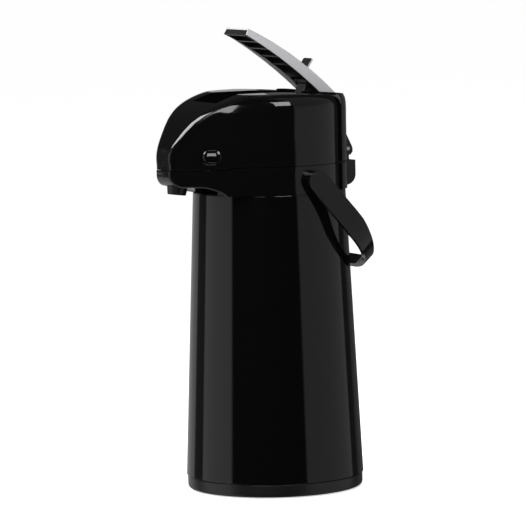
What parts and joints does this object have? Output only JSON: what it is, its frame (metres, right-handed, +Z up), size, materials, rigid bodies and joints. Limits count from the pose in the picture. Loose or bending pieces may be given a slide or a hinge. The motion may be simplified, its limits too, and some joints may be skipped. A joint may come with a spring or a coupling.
{
  "type": "pump airpot",
  "caption": "Gloss black pump airpot with a silver lever raised over its domed lid, a beak with a spout, a swivel base and a carrying bail behind.",
  "frame": {"origin": "the centre of the base underside, on the table", "axes": "+Z up, -Y the way the spout points, +X the side that the picture shows"},
  "size_m": [0.165, 0.198, 0.428],
  "materials": {
    "matte_black": "moulded satin black",
    "gloss_black": "polished moulded black",
    "black_paint": "gloss black paint on steel",
    "satin_silver": "satin silver",
    "steel": "plain steel",
    "rubber": "soft black rubber",
    "silicone": "translucent silicone",
    "white_plastic": "food grade white",
    "silvered_glass": "silvered glass"
  },
  "bodies": {
    "base": {"base_turntable": "matte_black", "foot_ring": "rubber", "glide_ring": "white_plastic"},
    "pot": {"bottom_cover": "matte_black", "swivel_retainer": "steel", "retainer_screw": "steel", "outer_body": "black_paint", "flask_cushion": "rubber", "flask_outer": "silvered_glass", "flask_inner": "silvered_glass", "neck_gasket": "silicone", "collar_shell": "gloss_black", "collar_back_cover": "gloss_black", "hinge_bracket": "gloss_black", "bracket_screws": "steel", "hinge_pin": "steel", "siphon_head": "white_plastic", "head_gasket": "silicone", "riser_tube": "white_plastic", "spout_tube": "silicone", "nozzle": "matte_black", "bail_studs": "steel"},
    "lid": {"lid_shell": "gloss_black", "lid_back_cover": "gloss_black", "lid_base": "white_plastic", "lid_base_screws": "steel", "lever_pivot_pin": "steel", "bellows": "silicone", "return_spring": "steel", "air_flap": "rubber"},
    "lever": {"lever_cap": "satin_silver", "lever_frame": "matte_black", "upper_link_pin": "steel"},
    "tab": {"safety_tab": "satin_silver"},
    "link_arm": {"link": "matte_black", "lower_link_pin": "steel"},
    "pump": {"plunger": "white_plastic"},
    "button_right": {"release_button_right": "gloss_black", "button_spring_right": "steel"},
    "button_left": {"release_button_left": "gloss_black", "button_spring_left": "steel"},
    "handle": {"bail": "gloss_black"}
  },
  "joints": [
    {"name": "swivel", "type": "hinge", "parent": "base", "child": "pot", "pos_m": [0, 0, 0.0136], "axis": [0, 0, 1], "continuous": true},
    {"name": "lid_hinge", "type": "hinge", "parent": "pot", "child": "lid", "pos_m": [0, 0.0768, 0.3123], "axis": [-1, 0, 0], "range_deg": [0, 95]},
    {"name": "lever_press", "type": "hinge", "parent": "lid", "child": "lever", "pos_m": [0, 0.055, 0.344], "axis": [-1, 0, 0], "range_deg": [-35, 0], "stiffness_Nm_per_rad": 0.6, "springref_deg": 22.92},
    {"name": "tab_fold", "type": "hinge", "parent": "lever", "child": "tab", "pos_m": [0, 0.03342, 0.38536], "axis": [1, 0, 0], "range_deg": [0, 85]},
    {"name": "link_swing", "type": "hinge", "parent": "lever", "child": "link_arm", "pos_m": [0, 0.03873, 0.37603], "axis": [-1, 0, 0], "range_deg": [0, 13.42]},
    {"name": "plunge", "type": "slide", "parent": "lid", "child": "pump", "axis": [0, 0, 1], "range_m": [-0.01818, 0], "deforming": ["bellows", "return_spring"]},
    {"name": "press_right", "type": "slide", "parent": "lid", "child": "button_right", "axis": [-0.8348, 0.5506, 0], "range_m": [0, 0.003], "stiffness_N_per_m": 400, "springref_m": -0.002},
    {"name": "press_left", "type": "slide", "parent": "lid", "child": "button_left", "axis": [0.8348, 0.5506, 0], "range_m": [0, 0.003], "stiffness_N_per_m": 400, "springref_m": -0.002},
    {"name": "bail_swing", "type": "hinge", "parent": "pot", "child": "handle", "pos_m": [0, 0.0107, 0.2888], "axis": [-1, 0, 0], "range_deg": [-118, 0]}
  ],
  "couplings": [
    {"joint": "link_swing", "follows": "lever_press", "ratio": -0.3834},
    {"joint": "plunge", "follows": "lever_press", "m_per_rad": 0.02976}
  ]
}
